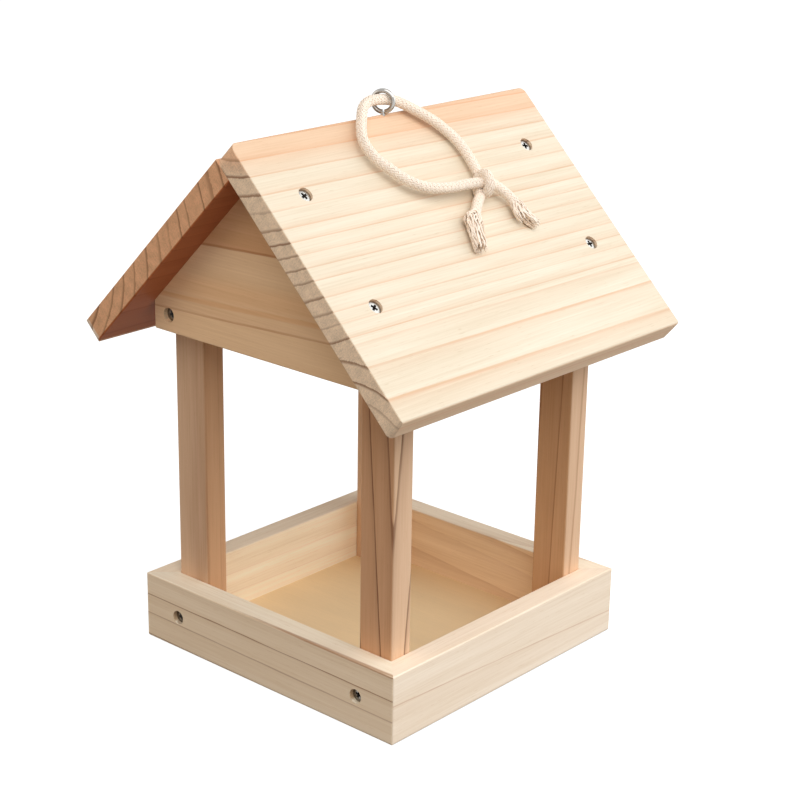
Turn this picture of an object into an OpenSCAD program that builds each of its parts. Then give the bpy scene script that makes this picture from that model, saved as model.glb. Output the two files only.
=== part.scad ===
// Wooden bird feeder house: a mitred tray with a plywood floor, four posts, two gable boards,
// two roof boards lapped at the ridge, and a rope loop tied through a screw eye.
// Millimetres, +Z up, front gable towards -Y, origin in the middle of the tray's underside.

/* [Tray] */
// Outside width of the tray, along X
tray_w = 166; // [140:1:240]
// Outside depth of the tray, along Y
tray_d = 166; // [140:1:240]
// Height of the tray walls
tray_h = 35; // [26:1:60]
// Thickness of the tray walls
wall_t = 12; // [10:0.5:18]
// Radius on the tray's outside upright corners
tray_corner_r = 0.8; // [0.5:0.1:4]
// Radius on the long edges of the walls
wall_edge_r = 0.75; // [0.5:0.25:2]
// Radius on the outside lower edge of the walls
wall_foot_r = 2; // [1:0.25:4]
// Thickness of the plywood floor
floor_t = 3; // [2.5:0.5:6]
// How far the floor reaches in under the walls
rebate_w = 6; // [4:0.5:8]
// Clearance between the floor's edge and its rebate
floor_gap = 0.25; // [0.1:0.05:0.5]

/* [Posts] */
// Width of a post, along X
post_w = 20; // [14:1:30]
// Depth of a post, along Y
post_d = 13; // [12:1:25]
// Radius on the upright edges of a post
post_edge_r = 1; // [0.5:0.25:2]
// Gap between a post's outer top edge and the roof
post_top_gap = 0.5; // [0.2:0.1:2]

/* [Gables] */
// Thickness of a gable board
gable_t = 12; // [9:0.5:16]
// Height of the gables' lower edge above the table
gable_z = 165; // [120:1:260]
// Height of the upright edge at each side of a gable
gable_side_h = 14; // [12:1:30]
// Radius on the lower edges of a gable
gable_edge_r = 1; // [0.5:0.25:2]

/* [Roof] */
// Pitch of the roof, in degrees
roof_pitch = 45; // [38:1:52]
// Length of the roof, along the ridge
roof_l = 202; // [180:1:300]
// Slope length of the underside, from the inner ridge to the eave
roof_slope = 132; // [120:1:190]
// Thickness of the roof boards
roof_t = 12; // [10:0.5:16]
// Radius on the ridge
ridge_r = 1.5; // [1:0.5:5]
// Radius on the long edges of the eaves
eave_r = 1.25; // [0.5:0.25:3]
// Radius on the corners of the eaves, seen square to a board
eave_corner_r = 3.5; // [1:0.5:6]
// How far the lower edge of the right eave reaches beyond its upper edge
eave_lean = 1.5; // [0:0.25:3]
// Radius on the ends of the ridge, seen square to the right board
ridge_corner_r = 5; // [1:0.5:8]
// Radius on the edges of the boards' sawn ends
board_end_r = 0.6; // [0.2:0.1:1]

/* [Screws] */
// Diameter of a screw's shank
screw_d = 3.5; // [3:0.5:4]
// Diameter of a screw's flat head
screw_head_d = 6.8; // [6:0.2:8]
// How far the heads sit below the roof
roof_screw_recess = 1.2; // [0.2:0.1:2]
// How far the heads sit below the faces of the tray and the gables
frame_screw_recess = 2.2; // [0.2:0.1:3]
// Clearance round a screw, on the radius
screw_gap = 0.15; // [0.1:0.05:0.3]
// Length of the screws in the roof
roof_screw_l = 25; // [20:1:30]
// Length of the screws in the tray and the gables
frame_screw_l = 20; // [16:1:22]
// Upper roof screw, measured down the slope from the inner ridge
roof_screw_high = 20; // [16:1:30]
// Lower roof screw, measured down the slope from the inner ridge
roof_screw_low = 79; // [60:1:95]
// Tray screw, measured in from the post's outer face
tray_screw_in = 11; // [8:1:12]
// Gable screw, measured in from the gable's side edge
gable_screw_in = 9.5; // [8:0.5:12]
// Gable screw, measured up from the gable's lower edge
gable_screw_up = 8.5; // [6:0.5:9]

/* [Floor pins] */
// Diameter of a panel pin
pin_d = 1.2; // [1:0.1:1.6]
// Diameter of a panel pin's head
pin_head_d = 2.6; // [2:0.1:3]
// Length of a panel pin
pin_l = 12; // [10:1:16]
// Spacing of the two pins along each wall
pin_spacing = 80; // [40:1:90]

/* [Screw eye] */
// Outside diameter of the ring
eye_d = 12; // [11.5:0.5:16]
// Diameter of the ring's wire
eye_wire = 2.2; // [1.8:0.1:2.4]
// How far the ring stands above the ridge
eye_stand = 0.2; // [0.1:0.1:2]
// Place of the eye along the ridge
eye_y = -3; // [-10:1:10]
// Turn of the ring about its shank, in degrees, from square across the ridge
eye_turn = 28; // [0:1:35]
// Opening left where the ring's wire comes back to its shank, in degrees
eye_slit = 20; // [16:1:30]
// Wood left under the tip of the eye's shank
eye_cover = 3; // [2:0.5:5]

/* [Rope] */
// Diameter of the rope
rope_d = 5; // [4:0.2:5.2]
// Radius of the strand that goes round in the knot
knot_strand_r = 2.2; // [1.8:0.1:2.4]

/* [Hidden] */
$fn = 48;

pine = "BurlyWood";
pine_dark = "Tan";
plywood = "Wheat";
steel = "Silver";
cotton = "OldLace";

// Overshoot that keeps cutting faces off the faces they cut
eps = 0.05;
arc_steps = 6;
huge = 1000;

inner_w = tray_w - 2 * wall_t;
inner_d = tray_d - 2 * wall_t;
floor_w = inner_w + 2 * (rebate_w - floor_gap);
floor_d = inner_d + 2 * (rebate_w - floor_gap);
pin_in = rebate_w / 2;
pin_head_h = 0.6;

// Roof section in the XZ plane: the undersides meet at the inner ridge
ridge_in_z = gable_z + gable_side_h + inner_w / 2 * tan(roof_pitch);
ridge_in = [0, ridge_in_z];
right_down = [cos(roof_pitch), -sin(roof_pitch)];
right_out = [sin(roof_pitch), cos(roof_pitch)];
left_down = [-right_down[0], right_down[1]];
left_out = [-right_out[0], right_out[1]];
ridge_peak = ridge_in + [0, roof_t / cos(roof_pitch)];
lap_end = ridge_in - right_down * roof_t / sin(2 * roof_pitch);
ridge_top_z = ridge_peak[1] - ridge_r * (1 / cos(roof_pitch) - 1);
lap_reach = max(roof_t * tan(roof_pitch), roof_t / sin(2 * roof_pitch));
post_top_z = gable_z + gable_side_h - post_top_gap;
gable_y = inner_d / 2 + gable_t / 2;

// Screws
screw_r = screw_d / 2;
screw_head_r = screw_head_d / 2;
screw_rim = 0.3;
screw_tip = 4;
cross_span = 4.4;
cross_arm = 1.2;
cross_depth = 1.5;

// Screw eye and the line that the rope turns about
eye_r = eye_d / 2 - eye_wire / 2;
eye_z = ridge_top_z + eye_stand + eye_d / 2;
eye_tip_z = ridge_in_z + eye_cover;

// Rope route from the knot up the near limb, through the eye and back down the far limb.
// Each point is [down the right slope from the ridge peak, along the ridge, above the roof].
rope_route = [
    [49.2, 20.2, 6.6], [48.4, 12.5, 6.4], [48, 4.5, 6], [47.2, -3, 6], [45, -11.5, 5.5], [41, -18.5, 5.5],
    [36, -23, 5], [31, -26.5, 5], [25.5, -29.5, 4.5], [20, -31, 4.5], [14, -30.5, 4.5], [8.5, -27.5, 4.5],
    [3.5, -23.5, 4.5], [-1, -19.5, 4.5], [-3.7, -15.5, 4.4], [-4.8, -11.5, 4.8], [-4.8, -7.5, 4.8],
    [-4.5, -3, 4.5], [-4, 1.5, 4], [-2.5, 5.5, 4], [0.5, 9.5, 4], [4, 13.5, 4], [8, 17.5, 4],
    [12.5, 21.5, 4], [17.5, 25, 3.6], [23, 27.5, 3.6], [29, 28.5, 3.6], [35, 28.5, 3.6], [40, 28, 3.6],
    [43, 27.4, 3.6]
];
tail_left_route = [
    [54.1, 20.3, 3.3], [57, 16, 3.6], [61.5, 10.5, 4], [66.5, 4.5, 4.2], [72, 1.5, 4.2], [77, 0, 4],
    [81, -1.5, 3.6]
];
tail_left_radii = [2.3, 2.5, 3.2, 3.8, 3.8, 3.6, 3];
tail_right_route = [
    [51, 28.2, 6.5], [52.2, 30.6, 6], [54.6, 33.2, 5.4], [58, 36, 4.8], [62.5, 38, 4.2], [67.5, 39.7, 3.8],
    [72.5, 42, 3.4], [76, 45, 3]
];
tail_right_radii = [2.3, 2.4, 2.5, 2.6, 2.8, 2.9, 2.6, 2.2];
rope_sides = 10;
knot_at = [50, 24, 6.6];
knot_turn = 12;
knot_core_l = 7;
knot_r = rope_d / 2 + 1.5;

// Points of an arc that rounds the corner at p between its neighbours a and b
function unit(v) = v / norm(v);
function corner_arc(a, p, b, r) =
    let (
        to_a = unit(a - p),
        to_b = unit(b - p),
        half = acos(to_a * to_b) / 2,
        centre = p + unit(to_a + to_b) * r / sin(half),
        start = p + to_a * r / tan(half) - centre,
        end = p + to_b * r / tan(half) - centre
    )
    [for (i = [0:arc_steps])
        let (w = i / arc_steps * (180 - 2 * half))
        centre + (start * sin(180 - 2 * half - w) + end * sin(w)) / sin(180 - 2 * half)];

// Outline with each corner rounded by the radius of the same index, or left sharp at zero
function rounded(points, radii) =
    let (n = len(points))
    [for (i = [0:n - 1])
        each radii[i] == 0
            ? [points[i]]
            : corner_arc(points[(i + n - 1) % n], points[i], points[(i + 1) % n], radii[i])];

function rectangle(w, h) = [[-w / 2, -h / 2], [w / 2, -h / 2], [w / 2, h / 2], [-w / 2, h / 2]];

// A place over the right slope, from [down the slope, along the ridge, above the roof]
function on_slope(p) =
    let (q = ridge_peak + right_down * p[0] + right_out * p[2])
    [q[0], p[1], q[1]];

// Rings of a tube along a route, held upright against the slope's normal
slope_up = [right_out[0], 0, right_out[1]];
function along(route, i) =
    unit(route[min(i + 1, len(route) - 1)] - route[max(i - 1, 0)]);
function tube_rings(route, radii) =
    [for (i = [0:len(route) - 1])
        let (side = unit(cross(along(route, i), slope_up)), up = cross(side, along(route, i)))
        [for (k = [0:rope_sides - 1])
            let (a = 360 * k / rope_sides)
            route[i] + radii[i] * (side * cos(a) + up * sin(a))]];

module tube(slope_route, radii) {
    route = [for (p = slope_route) on_slope(p)];
    rings = tube_rings(route, radii);
    n = len(route);
    s = rope_sides;
    quads = [for (i = [0:n - 2], k = [0:s - 1])
        let (here = i * s, next = here + s, turn = (k + 1) % s)
        [here + k, here + turn, next + turn, next + k]];
    sides = [for (q = quads) each [[q[0], q[1], q[2]], [q[0], q[2], q[3]]]];
    first = [for (k = [1:s - 2]) [0, k + 1, k]];
    last = [for (k = [1:s - 2]) [(n - 1) * s, (n - 1) * s + k, (n - 1) * s + k + 1]];
    polyhedron(points = [for (ring = rings) each ring], faces = concat(sides, first, last));
}

// Extrude an outline in the XZ plane along Y, centred
module along_y(length) {
    rotate([90, 0, 0])
        linear_extrude(length, center = true)
            children();
}

// Stand children on the outside of a roof board: side is 1 on the right and -1 on the left,
// down is measured from the inner ridge along the underside
module on_roof(side, down, y) {
    foot = ridge_in + right_down * down + right_out * roof_t;
    mirror([side < 0 ? 1 : 0, 0, 0])
        translate([foot[0], y, foot[1]])
            rotate([0, roof_pitch, 0])
                children();
}

module roof_screw_places(side) {
    for (y = [-gable_y, gable_y], down = [roof_screw_high, roof_screw_low])
        on_roof(side, down, y) children();
}

// Front is -1 and back is 1; local +Z points out of the wood
module tray_screw_places(face) {
    for (x = [-1, 1])
        translate([x * (inner_w / 2 - tray_screw_in), face * tray_d / 2, tray_h / 2])
            rotate([-face * 90, 0, 0])
                children();
}

module gable_screw_places(face) {
    y = face * (inner_d / 2 + gable_t);
    for (x = [-1, 1])
        translate([x * (inner_w / 2 - gable_screw_in), y, gable_z + gable_screw_up])
            rotate([-face * 90, 0, 0])
                children();
}

module pin_places() {
    for (x = [-1, 1], y = [-1, 1]) {
        translate([x * (inner_w / 2 + pin_in), y * pin_spacing / 2, 0]) children();
        translate([x * pin_spacing / 2, y * (inner_d / 2 + pin_in), 0]) children();
    }
}

// Countersunk wood screw with a cross recess, head up at the wood's surface
module screw(length, recess) {
    cone_h = screw_head_r - screw_r;
    color(steel)
        translate([0, 0, -recess])
            difference() {
                rotate_extrude()
                    polygon([
                        [0, 0], [screw_head_r, 0], [screw_head_r, -screw_rim], [screw_r, -screw_rim - cone_h],
                        [screw_r, screw_tip - length], [0, -length]
                    ]);
                for (turn = [0, 90])
                    rotate([0, 0, turn])
                        translate([-cross_span / 2, -cross_arm / 2, -cross_depth])
                            cube([cross_span, cross_arm, cross_depth + eps]);
            }
}

// The hole for such a screw: a round recess, the countersink and the shank's hole
module screw_hole(length, recess) {
    recess_r = screw_head_r + screw_gap;
    shank_r = screw_r + screw_gap;
    sink_z = -recess - screw_rim - screw_gap;
    translate([0, 0, sink_z])
        cylinder(r = recess_r, h = eps - sink_z);
    translate([0, 0, sink_z - (recess_r - shank_r)])
        cylinder(r1 = shank_r, r2 = recess_r, h = recess_r - shank_r);
    translate([0, 0, -recess - length - screw_gap])
        cylinder(r = shank_r, h = length);
}

// A tray wall lies along X with its outer face towards -Y, cut at 45 degrees at both ends
module mitred_wall(length, across) {
    outline = rounded(rectangle(wall_t, tray_h), [wall_foot_r, 0, wall_edge_r, wall_edge_r]);
    mitre = [[-length / 2, -across / 2], [length / 2, -across / 2], [0, length / 2 - across / 2]];
    difference() {
        intersection() {
            translate([0, wall_t / 2 - across / 2, tray_h / 2])
                rotate([90, 0, 90])
                    linear_extrude(length, center = true)
                        polygon(outline);
            linear_extrude(tray_h)
                polygon(mitre);
            linear_extrude(tray_h)
                polygon(rounded(rectangle(length, across), [for (i = [0:3]) tray_corner_r]));
        }
        translate([-length / 2, wall_t - rebate_w - across / 2, -eps])
            cube([length, rebate_w + eps, floor_t + eps]);
    }
}

module pin_holes() {
    pin_places()
        translate([0, 0, -eps])
            cylinder(d = pin_d + 2 * screw_gap, h = pin_l + screw_gap + eps);
}

module tray_front_wall() {
    color(pine)
        difference() {
            mitred_wall(tray_w, tray_d);
            tray_screw_places(-1) screw_hole(frame_screw_l, frame_screw_recess);
            pin_holes();
        }
}

module tray_back_wall() {
    color(pine)
        difference() {
            rotate([0, 0, 180]) mitred_wall(tray_w, tray_d);
            tray_screw_places(1) screw_hole(frame_screw_l, frame_screw_recess);
            pin_holes();
        }
}

module tray_left_wall() {
    color(pine)
        difference() {
            rotate([0, 0, -90]) mitred_wall(tray_d, tray_w);
            pin_holes();
        }
}

module tray_right_wall() {
    color(pine)
        difference() {
            rotate([0, 0, 90]) mitred_wall(tray_d, tray_w);
            pin_holes();
        }
}

// Plywood panel let in flush with the underside of the walls
module floor_panel() {
    color(plywood)
        difference() {
            linear_extrude(floor_t)
                polygon(rectangle(floor_w, floor_d));
            pin_holes();
            pin_places()
                translate([0, 0, -eps])
                    cylinder(d = pin_head_d + 2 * screw_gap, h = pin_head_h + screw_gap + eps);
        }
}

module floor_pins() {
    color(steel)
        pin_places() {
            cylinder(d = pin_head_d, h = pin_head_h);
            cylinder(d = pin_d, h = pin_l);
        }
}

// A post stands on the floor in a corner of the tray, against its two walls
module post(side, face) {
    color(pine_dark)
        difference() {
            translate([side * (inner_w - post_w) / 2, face * (inner_d - post_d) / 2, floor_t])
                linear_extrude(post_top_z - floor_t)
                    polygon(rounded(rectangle(post_w, post_d), [for (i = [0:3]) post_edge_r]));
            tray_screw_places(face) screw_hole(frame_screw_l, frame_screw_recess);
            gable_screw_places(face) screw_hole(frame_screw_l, frame_screw_recess);
        }
}

module post_front_left() { post(-1, -1); }
module post_front_right() { post(1, -1); }
module post_back_left() { post(-1, 1); }
module post_back_right() { post(1, 1); }

// Five-sided board with short upright sides, as wide as the posts stand apart
module gable(face) {
    side_z = gable_z + gable_side_h;
    half = inner_w / 2;
    board_h = ridge_in_z - gable_z;
    face_outline = [[-half, gable_z], [half, gable_z], [half, side_z], ridge_in, [-half, side_z]];
    edges = rounded(rectangle(gable_t, board_h), [gable_edge_r, gable_edge_r, 0, 0]);
    color(pine)
        difference() {
            intersection() {
                translate([0, face * gable_y, 0])
                    along_y(gable_t)
                        polygon(face_outline);
                translate([0, face * gable_y, gable_z + board_h / 2])
                    rotate([90, 0, 90])
                        linear_extrude(inner_w, center = true)
                            polygon(edges);
            }
            gable_screw_places(face) screw_hole(frame_screw_l, frame_screw_recess);
            roof_screw_places(1) screw_hole(roof_screw_l, roof_screw_recess);
            roof_screw_places(-1) screw_hole(roof_screw_l, roof_screw_recess);
        }
}

module gable_front() { gable(-1); }
module gable_back() { gable(1); }

// The blank that a roof board is shaped from: round corners seen square to the board, and eased sawn ends
module roof_blank(side) {
    top = -lap_reach - eps;
    foot = roof_slope + (side > 0 ? eave_lean : 0);
    plan = rounded(
        [[top, -roof_l / 2], [foot, -roof_l / 2], [foot, roof_l / 2], [top, roof_l / 2]],
        [ridge_corner_r, eave_corner_r, eave_corner_r, ridge_corner_r]
    );
    section = rounded(rectangle(roof_l, roof_t), [for (i = [0:3]) board_end_r]);
    mirror([side < 0 ? 1 : 0, 0, 0])
        translate([0, 0, ridge_in_z])
            rotate([0, roof_pitch, 0])
                intersection() {
                    linear_extrude(roof_t)
                        polygon(plan);
                    translate([0, 0, roof_t / 2])
                        rotate([90, 0, 90])
                            linear_extrude(2 * (foot + lap_reach), center = true)
                                polygon(section);
                }
}

// The right board reaches over the top end of the left one and is flush with its outside
module roof_board_right() {
    eave = ridge_in + right_down * roof_slope;
    outline = rounded(
        [lap_end, ridge_peak, eave + right_out * roof_t, eave + right_down * eave_lean],
        [0, ridge_r, eave_r, eave_r]
    );
    color(pine)
        difference() {
            intersection() {
                along_y(roof_l) polygon(outline);
                roof_blank(1);
            }
            roof_screw_places(1) screw_hole(roof_screw_l, roof_screw_recess);
            translate([0, eye_y, eye_tip_z - screw_gap])
                cylinder(d = eye_wire + 2 * screw_gap, h = huge);
        }
}

module roof_board_left() {
    eave = ridge_in + left_down * roof_slope;
    outline = rounded(
        [ridge_in, eave, eave + left_out * roof_t, lap_end],
        [0, eave_r, eave_r, 0]
    );
    color(pine)
        difference() {
            intersection() {
                along_y(roof_l) polygon(outline);
                roof_blank(-1);
            }
            roof_screw_places(-1) screw_hole(roof_screw_l, roof_screw_recess);
        }
}

module tray_screws_front() { tray_screw_places(-1) screw(frame_screw_l, frame_screw_recess); }
module tray_screws_back() { tray_screw_places(1) screw(frame_screw_l, frame_screw_recess); }
module gable_screws_front() { gable_screw_places(-1) screw(frame_screw_l, frame_screw_recess); }
module gable_screws_back() { gable_screw_places(1) screw(frame_screw_l, frame_screw_recess); }
module roof_screws_right() { roof_screw_places(1) screw(roof_screw_l, roof_screw_recess); }
module roof_screws_left() { roof_screw_places(-1) screw(roof_screw_l, roof_screw_recess); }

// Wire ring bent round from its own pointed shank
module screw_eye() {
    shank_top = eye_z - eye_r;
    color(steel)
        translate([0, eye_y, 0]) {
            translate([0, 0, eye_z])
                rotate([90, 0, eye_turn])
                    rotate([0, 0, -90])
                        rotate_extrude(angle = 360 - eye_slit)
                            translate([eye_r, 0])
                                circle(d = eye_wire);
            translate([0, 0, eye_tip_z])
                rotate_extrude()
                    polygon([
                        [0, 0], [eye_wire / 2, screw_tip], [eye_wire / 2, shank_top - eye_tip_z],
                        [0, shank_top - eye_tip_z]
                    ]);
        }
}

module hanging_rope() {
    color(cotton)
        tube(rope_route, [for (p = rope_route) rope_d / 2]);
}

// One strand carried round the other, which runs through the middle
module rope_knot() {
    color(cotton)
        translate(on_slope(knot_at))
            rotate([0, roof_pitch, 0])
                rotate([0, 0, -knot_turn])
                    rotate([90, 0, 0]) {
                        rotate_extrude()
                            translate([knot_r, 0])
                                circle(r = knot_strand_r);
                        cylinder(d = rope_d, h = knot_core_l, center = true);
                    }
}

module rope_tail_left() {
    color(cotton) tube(tail_left_route, tail_left_radii);
}

module rope_tail_right() {
    color(cotton) tube(tail_right_route, tail_right_radii);
}

tray_front_wall();
tray_back_wall();
tray_left_wall();
tray_right_wall();
floor_panel();
floor_pins();
post_front_left();
post_front_right();
post_back_left();
post_back_right();
gable_front();
gable_back();
roof_board_right();
roof_board_left();
tray_screws_front();
tray_screws_back();
gable_screws_front();
gable_screws_back();
roof_screws_right();
roof_screws_left();
screw_eye();
hanging_rope();
rope_knot();
rope_tail_left();
rope_tail_right();
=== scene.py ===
"""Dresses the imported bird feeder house: pine boards, plywood floor, screws, screw eye and braided rope."""

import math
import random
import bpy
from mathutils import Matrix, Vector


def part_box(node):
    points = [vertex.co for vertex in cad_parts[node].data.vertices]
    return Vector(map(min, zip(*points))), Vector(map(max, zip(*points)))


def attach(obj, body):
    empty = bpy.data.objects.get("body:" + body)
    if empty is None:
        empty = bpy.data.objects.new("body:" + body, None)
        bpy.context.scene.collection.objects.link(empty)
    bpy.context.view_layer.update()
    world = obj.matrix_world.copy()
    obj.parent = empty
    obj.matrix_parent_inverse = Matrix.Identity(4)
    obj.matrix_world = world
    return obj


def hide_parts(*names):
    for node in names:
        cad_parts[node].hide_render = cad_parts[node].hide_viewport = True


bl_info = {
    "name": "Bird Feeder House",
    "version": (1, 0, 0),
    "blender": (4, 5, 0),
    "location": "View3D > Sidebar > Bird Feeder",
    "description": "Dresses a wooden bird feeder house in pine, steel and braided cotton rope",
    "category": "Add Mesh",
}

import bpy
import numpy as np
from bpy.props import FloatProperty, FloatVectorProperty, IntProperty, PointerProperty
from mathutils import Matrix, Vector

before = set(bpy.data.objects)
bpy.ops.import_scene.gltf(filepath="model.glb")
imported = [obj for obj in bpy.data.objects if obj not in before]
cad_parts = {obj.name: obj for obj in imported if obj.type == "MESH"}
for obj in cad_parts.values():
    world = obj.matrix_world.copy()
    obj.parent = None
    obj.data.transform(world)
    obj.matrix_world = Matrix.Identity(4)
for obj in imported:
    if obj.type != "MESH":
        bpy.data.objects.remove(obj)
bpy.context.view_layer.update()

MM = 0.001
WHITE = (1, 1, 1, 1)
UP = Vector((0, 0, 1))
RIGHT = Vector((1, 0, 0))
ALONG_RIDGE = Vector((0, 1, 0))
FRONT = -ALONG_RIDGE

# Directions over the two roof slopes, and the sharp peak that the rounded ridge is cut from
ROOF_PITCH = math.radians(45)
RIDGE_RADIUS = 1.5 * MM
RIDGE_PEAK = Vector((0, 0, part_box("roof_board_right")[1].z + RIDGE_RADIUS * (1 / math.cos(ROOF_PITCH) - 1)))
RIGHT_DOWN = Vector((math.cos(ROOF_PITCH), 0, -math.sin(ROOF_PITCH)))
RIGHT_OUT = Vector((math.sin(ROOF_PITCH), 0, math.cos(ROOF_PITCH)))
LEFT_DOWN = Vector((-RIGHT_DOWN.x, 0, RIGHT_DOWN.z))
LEFT_OUT = Vector((-RIGHT_OUT.x, 0, RIGHT_OUT.z))

# The rope's route in millimetres: down the right slope from the ridge peak, along the ridge, above the roof
LOOP_ROUTE = [
    [49.2, 20.2, 6.6], [48.4, 12.5, 6.4], [48, 4.5, 6], [47.2, -3, 6], [45, -11.5, 5.5],
    [41, -18.5, 5.5], [36, -23, 5], [31, -26.5, 5], [25.5, -29.5, 4.5], [20, -31, 4.5],
    [14, -30.5, 4.5], [8.5, -27.5, 4.5], [3.5, -23.5, 4.5], [-1, -19.5, 4.5], [-3.7, -15.5, 4.4],
    [-4.8, -11.5, 4.8], [-4.8, -7.5, 4.8], [-4.5, -3, 4.5], [-4, 1.5, 4], [-2.5, 5.5, 4],
    [0.5, 9.5, 4], [4, 13.5, 4], [8, 17.5, 4], [12.5, 21.5, 4], [17.5, 25, 3.6],
    [23, 27.5, 3.6], [29, 28.5, 3.6], [35, 28.5, 3.6], [40, 28, 3.6], [43, 27.4, 3.6],
]
# The near limb runs straight through the knot, and the far limb goes once round it
KNOT_CORE_ROUTE = [[50.1, 24.3, 6.7]]
KNOT_WRAP_ROUTE = [
    [47, 26.6, 3], [50.5, 25.8, 2.7], [53.4, 24.2, 3.8], [54.6, 22.4, 6.4], [53.4, 22.4, 9.4],
    [50.4, 23.4, 10.4], [47.4, 24.4, 9.6], [45.8, 24.8, 6.8], [46.4, 24, 4.2], [49.2, 22.4, 2.8],
    [52, 21.1, 2.9],
]
TAIL_LEFT_ROUTE = [
    [54.1, 20.3, 3.3], [57, 16, 3.6], [61.5, 10.5, 4], [66.5, 4.5, 4.2], [72, 1.5, 4.2], [77, 0, 4],
    [81, -1.5, 3.6],
]
TAIL_RIGHT_ROUTE = [
    [51, 28.2, 6.5], [52.2, 30.6, 6], [54.6, 33.2, 5.4], [58, 36, 4.8], [62.5, 38, 4.2], [67.5, 39.7, 3.8],
    [72.5, 42, 3.4], [76, 45, 3],
]


def on_slope(place):
    """A point over the right roof slope, in metres."""
    down, along, above = (part * MM for part in place)
    return RIDGE_PEAK + RIGHT_DOWN * down + ALONG_RIDGE * along + RIGHT_OUT * above


# Settings


def length(name, description, default):
    return FloatProperty(name=name, description=description, default=default, unit="LENGTH", precision=5)


def degrees(name, description, default):
    return FloatProperty(name=name, description=description, default=math.radians(default), subtype="ANGLE")


def watts(name, description, default):
    return FloatProperty(name=name, description=description, default=default, min=0, unit="POWER")


def colour(name, description, default):
    return FloatVectorProperty(
        name=name, description=description, default=default, size=3, min=0, max=1, subtype="COLOR"
    )


class FEEDER_PG_rope(bpy.types.PropertyGroup):
    """Sizes and colours of the hanging rope."""

    diameter: length("Diameter", "Diameter of the braided rope", 5.1 * MM)
    pairs: IntProperty(name="Strand pairs", description="Strands that go round each way", default=8, min=4)
    lay: length("Lay", "Length of rope in which a strand goes round once", 19 * MM)
    yarn: length("Yarn", "Width of one of a strand's two yarns", 0.94 * MM)
    cotton: colour("Cotton", "Colour of the yarns", (1.0, 0.88, 0.75))
    fray: colour("Fray", "Colour of the frayed ends", (1.0, 0.87, 0.74))
    # Painted shade: these two tints darken each yarn's sides, where it meets the next yarn
    seam: colour("Seam", "Tint where two yarns meet in the braid", (0.78, 0.62, 0.50))
    fray_crevice_shade: colour("Fray crevice shade", "Tint where two yarns meet in the frayed ends", (0.92, 0.83, 0.75))


class FEEDER_PG_wood(bpy.types.PropertyGroup):
    """Colours of the boards."""

    tray: colour("Tray", "Early wood of the tray walls", (0.94, 0.78, 0.59))
    post: colour("Posts", "Early wood of the posts", (0.765, 0.505, 0.325))
    gable: colour("Gables", "Early wood of the gables", (0.95, 0.64, 0.38))
    roof_right: colour("Right roof board", "Early wood of the right roof board", (0.78, 0.67, 0.52))
    roof_left: colour("Left roof board", "Early wood of the left roof board", (0.74, 0.44, 0.27))
    plywood: colour("Plywood", "Face veneer of the floor", (0.94, 0.71, 0.42))


class FEEDER_PG_metal(bpy.types.PropertyGroup):
    """Sizes and colours of the screws and the screw eye."""

    head: length("Screw head", "Diameter of a screw's flat head", 6.8 * MM)
    shank: length("Screw shank", "Diameter of a screw below its head", 3.5 * MM)
    eye: length("Eye", "Outer diameter of the screw eye's ring", 12 * MM)
    wire: length("Eye wire", "Diameter of the screw eye's wire", 2.2 * MM)
    steel: colour("Steel", "Colour of the screws", (0.40, 0.385, 0.36))
    # Painted shade: a darker copy of the screw steel for the screws sunk deep in the gables and the tray
    sunk_steel_shade: colour("Shaded steel", "Colour of the screws in the gables and the tray", (0.24, 0.225, 0.205))
    # Painted shade: near black inside the screws' cross recesses
    painted_recess_shade: colour("Recess shade", "Colour inside the screws' cross recesses", (0.06, 0.05, 0.045))
    nickel: colour("Nickel", "Colour of the screw eye", (0.42, 0.402, 0.378))


class FEEDER_PG_stage(bpy.types.PropertyGroup):
    """Camera, floor and light."""

    place: FloatVectorProperty(
        name="Camera", description="Where the camera stands", default=(0.5981, -0.6637, 0.4354),
        subtype="TRANSLATION",
    )
    azimuth: degrees("Azimuth", "Turn to the left", 41.50)
    elevation: degrees("Elevation", "Tilt down", 19.117)
    roll: degrees("Roll", "Turn about the view", 0.938)
    lens: FloatProperty(name="Lens", description="Focal length", default=87.18, min=10, unit="CAMERA")
    key: watts("Key light", "Power of the overhead light", 21.5)
    window: watts("Window", "Power of the light from behind", 17.5)
    fill: watts("Fill light", "Power of the light in front", 3.6)
    sky: colour("Sky", "Colour of the light from all round", (0.33, 0.33, 0.33))


SETTINGS = {
    "feeder_rope": FEEDER_PG_rope,
    "feeder_wood": FEEDER_PG_wood,
    "feeder_metal": FEEDER_PG_metal,
    "feeder_stage": FEEDER_PG_stage,
}


# Shader nodes


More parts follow.
